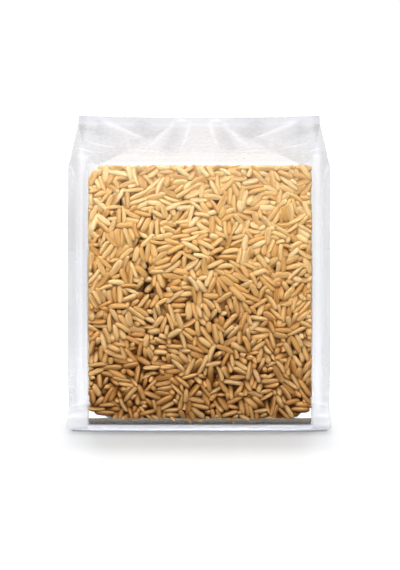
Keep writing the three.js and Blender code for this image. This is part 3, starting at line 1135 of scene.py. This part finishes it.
def join_parts(name, parts, material):
    """One mesh from several sets of groats."""
    points, quads, caps, fields, offset = [], [], [], {}, 0
    for part_points, part_quads, part_caps, part_fields in parts:
        points.append(part_points)
        quads.append(part_quads + offset)
        caps.append(part_caps + offset)
        for key, values in part_fields.items():
            fields.setdefault(key, []).append(values)
        offset += len(part_points)
    joined = {key: np.concatenate(values) for key, values in fields.items()}
    return add_mesh(name, np.vstack(points), [np.vstack(quads), np.vstack(caps)], joined, material)


# name, pale colour, rich colour, dark colour; each kind is an equal share of the groats
GROAT_KINDS = [
    ("groats_cream", (0.95, 0.69, 0.36), (0.92, 0.61, 0.27), (0.58, 0.27, 0.05)),
    ("groats_pale", (0.94, 0.65, 0.31), (0.90, 0.57, 0.23), (0.56, 0.25, 0.042)),
    ("groats_golden", (0.92, 0.61, 0.28), (0.87, 0.52, 0.19), (0.52, 0.225, 0.037)),
    ("groats_amber", (0.89, 0.56, 0.24), (0.82, 0.46, 0.15), (0.47, 0.20, 0.029)),
    ("groats_toasted", (0.84, 0.50, 0.19), (0.74, 0.385, 0.115), (0.40, 0.16, 0.023)),
]


# How many rings and sides a groat has: in front, at the other faces, just under them and deep down
FINENESS = [(11, 10), (8, 8), (5, 6), (4, 5)]
OUTER_LAYER = 2.6
SECOND_LAYER = 4.0
FRONT_LAYER = 5.0


def add_contents():
    draw = np.random.default_rng(SEED)
    middle, direction, length, width, broken = fill_gaps(draw, *pack_groats(draw))
    depth = buried_depth(middle)
    near_front = middle[:, 1] < -HALF_DEPTH + FRONT_LAYER
    level = np.where(depth < OUTER_LAYER, 1, np.where(depth < SECOND_LAYER, 2, 3))
    level = np.where((level < 3) & near_front, 0, level)
    kind = np.searchsorted(np.arange(1, len(GROAT_KINDS)) / len(GROAT_KINDS), draw.random(len(middle)))
    pieces = []
    for index, (name, pale, rich, dark) in enumerate(GROAT_KINDS):
        parts = []
        for lod, fineness in enumerate(FINENESS):
            for is_broken, cut in ((False, 1.0), (True, BROKEN_CUT)):
                chosen = (kind == index) & (level == lod) & (broken == is_broken)
                if chosen.any():
                    groats = (middle[chosen], direction[chosen], length[chosen], width[chosen])
                    parts.append(groat_parts(groats, groat_shape(*fineness, cut), draw))
        pieces.append(join_parts(name, parts, groat_material(name, pale, rich, dark)))
    return pieces + [add_core(), add_foot_shade_band()]


CORE_ROWS = 40
CORE_SIDES = 96
CORE_POWER = 8.0  # how square the core is: 2 is an ellipsoid
# painted shade: the dark browns of the heap's inside
CORE_PAINTED_SHADE_COLOURS = ((0.34, 0.14, 0.02), (0.15, 0.06, 0.007))
CORE_GRIT = 350.0


def add_core():
    """The inside of the heap, behind the groats that can be seen: a rounded block in dark browns, painted
    shade for the groats within.
    """
    u = np.linspace(0, 2 * math.pi, CORE_SIDES, endpoint=False)
    cos, sin = np.cos(u), np.sin(u)
    reach = (np.abs(cos) ** CORE_POWER + np.abs(sin) ** CORE_POWER) ** (-1 / CORE_POWER)
    low, high = CORE_LOW - 1.0, CORE_HIGH + 1.0
    half, middle = (high - low) / 2, (low + high) / 2
    rings = []
    for level in np.linspace(-1, 1, CORE_ROWS):
        squeeze = (1 - abs(level) ** CORE_POWER) ** (1 / CORE_POWER)
        x = half[0] * cos * reach * squeeze
        y = half[1] * sin * reach * squeeze
        z = np.full(u.shape, middle[2] + half[2] * level)
        lump = 1 + 0.012 * roughness_field(x + y, z, 9.0, 5.0)
        rings.append(np.stack([x * lump, y * lump, z], axis=-1))
    quads = ring_faces(CORE_ROWS, CORE_SIDES)[0]
    core_shade_material = matt_material("heap_painted_shade", *CORE_PAINTED_SHADE_COLOURS, CORE_GRIT)
    return add_mesh("heap_core", np.array(rings).reshape(-1, 3), [quads], None, core_shade_material)


FOOT_SHADE_CORNER = 1.4
FOOT_SHADE_STEPS = 360
# The painted shade band's cross-section: how far in from the film, and how high
FOOT_SHADE_SECTION = [
    (0.9, 3.0), (0.1, 3.6), (0.0, 4.6), (0.0, 5.6),
    (0.35, 6.0), (2.2, 6.0), (3.0, 4.4), (2.2, 3.0),
]
# painted shade: the band's dark olive-browns
FOOT_SHADE_COLOURS = ((0.335, 0.30, 0.252), (0.215, 0.19, 0.15))
FOOT_SHADE_GRIT = 900.0


def add_foot_shade_band():
    """A dark olive-brown band along the foot of the contents, just inside the film: painted shade where the
    contents round under.
    """
    outline = []
    half_x, half_y = HALF_BLOCK - 0.2 - FOOT_SHADE_CORNER, HALF_DEPTH - 0.25 - FOOT_SHADE_CORNER
    for turn, (side_x, side_y) in enumerate(((1, 1), (-1, 1), (-1, -1), (1, -1))):
        angles = np.radians(90 * turn) + np.linspace(0, math.pi / 2, 8)
        arc = FOOT_SHADE_CORNER * np.stack([np.cos(angles), np.sin(angles)], axis=-1)
        outline.append(np.array([half_x * side_x, half_y * side_y]) + arc)
    outline = np.vstack(outline)
    closed = np.vstack([outline, outline[:1]])
    lengths = np.concatenate([[0], np.cumsum(np.linalg.norm(np.diff(closed, axis=0), axis=1))])
    at = np.linspace(0, lengths[-1], FOOT_SHADE_STEPS, endpoint=False)
    path = np.stack([np.interp(at, lengths, closed[:, k]) for k in range(2)], axis=-1)
    inward = -normalised(path)
    swell = 0.07 * roughness_field(path[:, 0], path[:, 1], 8.0, 4.0)
    rings = []
    for depth, height in FOOT_SHADE_SECTION:
        rise = height + swell * (height > 5)
        rings.append(np.column_stack([path + inward * depth, rise]))
    index = np.arange(len(rings) * FOOT_SHADE_STEPS).reshape(len(rings), FOOT_SHADE_STEPS)
    across = np.roll(index, -1, axis=1)
    above = np.roll(index, -1, axis=0)
    both = np.roll(above, -1, axis=1)
    quads = np.stack([index, across, both, above], axis=-1).reshape(-1, 4)
    foot_shade_material = matt_material("foot_painted_shade", *FOOT_SHADE_COLOURS, FOOT_SHADE_GRIT)
    return add_mesh("foot_painted_shade", np.array(rings).reshape(-1, 3), [quads], None, foot_shade_material)


# ======== Camera, floor and light
PHOTO_WIDTH_PX = 400
PHOTO_HEIGHT_PX = 570
CAMERA_DISTANCE = 600.0  # from the front fins
EYE_HEIGHT = 95.0
PIXELS_PER_MM = 2.098  # at the front fins
HORIZON_PX = 231.8
MIDDLE_PX = 199.0
SENSOR = 36.0


def place_object(name, data, place):
    holder = bpy.data.objects.new(name, data)
    holder.location = place
    bpy.context.scene.collection.objects.link(holder)
    return holder


def add_camera():
    camera = bpy.data.cameras.new("camera")
    camera.sensor_fit = "AUTO"
    camera.sensor_width = SENSOR
    camera.lens = SENSOR * PIXELS_PER_MM * CAMERA_DISTANCE / PHOTO_HEIGHT_PX
    camera.shift_x = (PHOTO_WIDTH_PX / 2 - MIDDLE_PX) / PHOTO_HEIGHT_PX
    camera.shift_y = (HORIZON_PX - PHOTO_HEIGHT_PX / 2) / PHOTO_HEIGHT_PX
    camera.clip_start = 0.01
    camera.clip_end = 50
    holder = place_object("camera", camera, Vector((0, -(HALF_DEPTH + CAMERA_DISTANCE), EYE_HEIGHT)) * MM)
    holder.rotation_euler = (math.pi / 2, 0, 0)
    bpy.context.scene.camera = holder


FLOOR_SHOWN = 0.35  # how pale the floor is to the camera, beside its lamp
FLOOR_BOUNCE = 0.10  # how pale it is for the light that it sends back up
FLOOR_LIFT = 0.11
FLOOR_COLOUR = (0.955, 0.98, 1.0)


def add_floor():
    half = 6000.0
    corners = np.array([(-half, -half, 0), (half, -half, 0), (half, half, 0), (-half, half, 0)], float)
    material, tree = new_material("studio_floor")
    seen = add_node(tree, "ShaderNodeLightPath").outputs["Is Camera Ray"]
    paleness = calc(tree, "MULTIPLY_ADD", seen, FLOOR_SHOWN - FLOOR_BOUNCE, FLOOR_BOUNCE)
    body = shader(tree, "ShaderNodeBsdfPrincipled", {
        "Base Color": mix_colour(tree, paleness, (0, 0, 0), FLOOR_COLOUR),
        "Roughness": 0.4,
        "Specular IOR Level": 0.12,
        "Emission Color": (1, 1, 1, 1),
        "Emission Strength": calc(tree, "MULTIPLY", seen, FLOOR_LIFT),
    })
    finish_material(tree, body)
    floor = add_mesh("floor", corners, [np.array([[0, 1, 2, 3]])], None, material)
    return floor


def add_light(name, place, target, size, power, spread_degrees):
    lamp = bpy.data.lights.new(name, "AREA")
    lamp.shape = "RECTANGLE"
    lamp.size, lamp.size_y = size[0] * MM, size[1] * MM
    lamp.energy = power
    lamp.spread = math.radians(spread_degrees)
    holder = place_object(name, lamp, Vector(place) * MM)
    aim = Vector(target) * MM - holder.location
    holder.rotation_euler = aim.to_track_quat("-Z", "Y").to_euler()
    return holder


def add_sun(name, tilt_degrees, width_degrees, strength):
    """A soft overhead light, leaning over from behind the bag."""
    lamp = bpy.data.lights.new(name, "SUN")
    lamp.energy = strength
    lamp.angle = math.radians(width_degrees)
    holder = place_object(name, lamp, Vector((0, 0, 0)))
    holder.rotation_euler = (math.radians(-tilt_degrees), 0, 0)
    return holder


# name, place, target, size, power, spread in degrees
LAMP_ROWS = [
    ("key", (-45, -200, 340), (0, -40, 115), (190, 130), 0.085, 100),
    ("softbox", (-30, -420, 260), (0, -40, 152), (350, 130), 0.135, 32),
    ("low_softbox", (-60, -400, 400), (0, -40, 0), (350, 130), 0.076, 18),
    ("film_key", (-45, -200, 340), (0, -40, 115), (190, 130), 0.18, 100),
    ("film_left", (-650, -650, 90), (0, -40, 60), (400, 300), 1.9, 120),
    ("film_right", (650, -650, 90), (0, -40, 60), (400, 300), 1.9, 120),
    ("low_strip", (0, -480, 90), (0, -40, 3), (420, 60), 0.72, 60),
    ("hem_strip", (0, -480, 90), (0, -40, 2), (420, 60), 0.030, 9),
]
# name, tilt in degrees, width in degrees, strength
SUN_ROWS = [
    ("overhead", 4, 9, 4.15),
    ("back_light", 24, 16, 2.85),
]


def light_only(lamp, pieces):
    """Keeps a lamp's light to these pieces; its shadows still fall as they would."""
    lit = bpy.data.collections.new("lit_by_" + lamp.name)
    for piece in pieces:
        lit.objects.link(piece)
    lamp.light_linking.receiver_collection = lit


DIM_DOME = 0.06
BRIGHT_DOME = 1.15
DOME_LEAN = 0.8  # how far the bright part leans back from overhead
DOME_EDGE = 0.85


def add_world():
    """White to the eye; the light it gives is bright from behind the bag and dim from in front of it."""
    world = bpy.data.worlds.new("studio")
    bpy.context.scene.world = world
    world.use_nodes = True
    tree = world.node_tree
    tree.nodes.clear()
    place = add_node(tree, "ShaderNodeTexCoord").outputs["Generated"]
    direction = add_node(tree, "ShaderNodeSeparateXYZ", {0: place}).outputs
    aim = calc(tree, "MULTIPLY_ADD", direction["Y"], DOME_LEAN, direction["Z"])
    from_back = spread(tree, aim, 0.0, DOME_EDGE, DIM_DOME, BRIGHT_DOME)
    seen = add_node(tree, "ShaderNodeLightPath").outputs["Is Camera Ray"]
    strength = calc(tree, "MAXIMUM", seen, from_back)
    background = shader(tree, "ShaderNodeBackground", {"Color": (1, 1, 1, 1), "Strength": strength})
    add_node(tree, "ShaderNodeOutputWorld", {"Surface": background})


def set_look():
    scene = bpy.context.scene
    scene.view_settings.view_transform = "Standard"
    scene.view_settings.look = "None"
    scene.cycles.transparent_max_bounces = 24
    scene.cycles.max_bounces = 8


add_camera()
FLOOR = add_floor()
add_world()
LAMPS = {row[0]: add_light(*row) for row in LAMP_ROWS}
LAMPS.update({row[0]: add_sun(*row) for row in SUN_ROWS})
set_look()

FILM_PIECES = add_film(film_material())
CONTENTS = add_contents()
for piece in FILM_PIECES + CONTENTS:
    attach(piece, "root")
    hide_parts("bag")

LIT_PIECES = {
    "key": CONTENTS,
    "softbox": CONTENTS,
    "low_softbox": CONTENTS,
    "film_key": FILM_PIECES,
    "film_left": FILM_PIECES,
    "film_right": FILM_PIECES,
    "low_strip": [piece for piece in FILM_PIECES if "flap" in piece.name],
    "hem_strip": [piece for piece in FILM_PIECES if piece.name in ("front_film", "front_hem")],
    "overhead": [FLOOR],
    "back_light": [FLOOR],
}
for name, pieces in LIT_PIECES.items():
    light_only(LAMPS[name], pieces)
